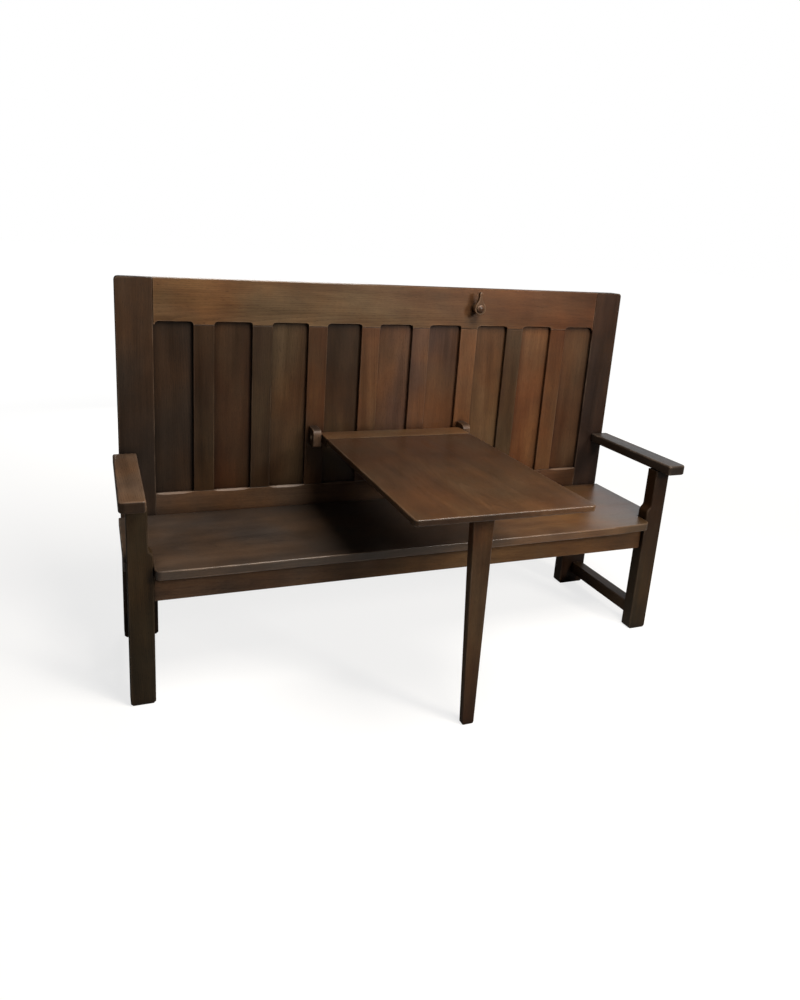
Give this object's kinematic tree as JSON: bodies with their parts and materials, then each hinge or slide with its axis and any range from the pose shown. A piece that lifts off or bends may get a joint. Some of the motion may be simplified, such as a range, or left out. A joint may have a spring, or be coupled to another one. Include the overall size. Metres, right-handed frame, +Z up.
{
  "type": "monks bench",
  "caption": "Long oak settle with a framed panel back, two arms and a central table on one leg that swings up on pins against the back, held there by a turn button.",
  "frame": {"origin": "on the floor, under the middle of the bounding box with the table down", "axes": "+X to the right of someone facing the bench, +Y towards the back, +Z up"},
  "size_m": [1.88, 0.902, 1.202],
  "materials": {
    "oak_frame": "dark stained oak, satin wax",
    "oak_panel": "dark stained oak, satin wax, cathedral grain",
    "oak_seat": "dark stained oak, polished by use",
    "oak_post": "dark stained oak, satin wax",
    "oak_arm": "dark stained oak, worn smooth",
    "oak_table": "stained oak, polished by use",
    "oak_leg": "dark stained oak, satin wax",
    "oak_pin": "oak dowel, end grain"
  },
  "bodies": {
    "bench": {"back_stile_left": "oak_frame", "front_post_left": "oak_post", "side_seat_rail_left": "oak_post", "side_stretcher_left": "oak_post", "arm_left": "oak_arm", "back_stile_right": "oak_frame", "front_post_right": "oak_post", "side_seat_rail_right": "oak_post", "side_stretcher_right": "oak_post", "arm_right": "oak_arm", "back_top_rail": "oak_frame", "back_bottom_rail": "oak_frame", "back_muntin_1": "oak_frame", "back_muntin_2": "oak_frame", "back_muntin_3": "oak_frame", "back_muntin_4": "oak_frame", "back_muntin_5": "oak_frame", "back_muntin_6": "oak_frame", "back_muntin_7": "oak_frame", "back_muntin_8": "oak_frame", "back_panel_1": "oak_panel", "back_panel_2": "oak_panel", "back_panel_3": "oak_panel", "back_panel_4": "oak_panel", "back_panel_5": "oak_panel", "back_panel_6": "oak_panel", "back_panel_7": "oak_panel", "back_panel_8": "oak_panel", "back_panel_9": "oak_panel", "seat_board": "oak_seat", "seat_rear_ledger": "oak_post", "front_apron": "oak_post", "pivot_ear_left": "oak_frame", "pivot_pin_left": "oak_pin", "pivot_ear_right": "oak_frame", "pivot_pin_right": "oak_pin", "turn_button_spacer": "oak_arm", "turn_button_bolt": "oak_pin"},
    "table": {"table_top": "oak_table", "table_pivot_rail": "oak_table", "leg_cheek_left": "oak_leg", "leg_cheek_right": "oak_leg", "leg_pivot_pin": "oak_pin"},
    "leg": {"table_leg": "oak_leg"},
    "button": {"turn_button": "oak_arm"}
  },
  "joints": [
    {"name": "table_tilt", "type": "hinge", "parent": "bench", "child": "table", "pos_m": [-0.006, 0.373, 0.688], "axis": [-1, 0, 0], "range_deg": [0, 91.7]},
    {"name": "leg_fold", "type": "hinge", "parent": "table", "child": "leg", "pos_m": [-0.014, -0.323, 0.662], "axis": [1, 0, 0], "range_deg": [0, 90]},
    {"name": "button_turn", "type": "hinge", "parent": "bench", "child": "button", "pos_m": [0.296, 0.379, 1.135], "axis": [0, -1, 0], "range_deg": [-90, 90]}
  ],
  "couplings": [
    {"joint": "leg_fold", "follows": "table_tilt", "ratio": 0.981}
  ]
}
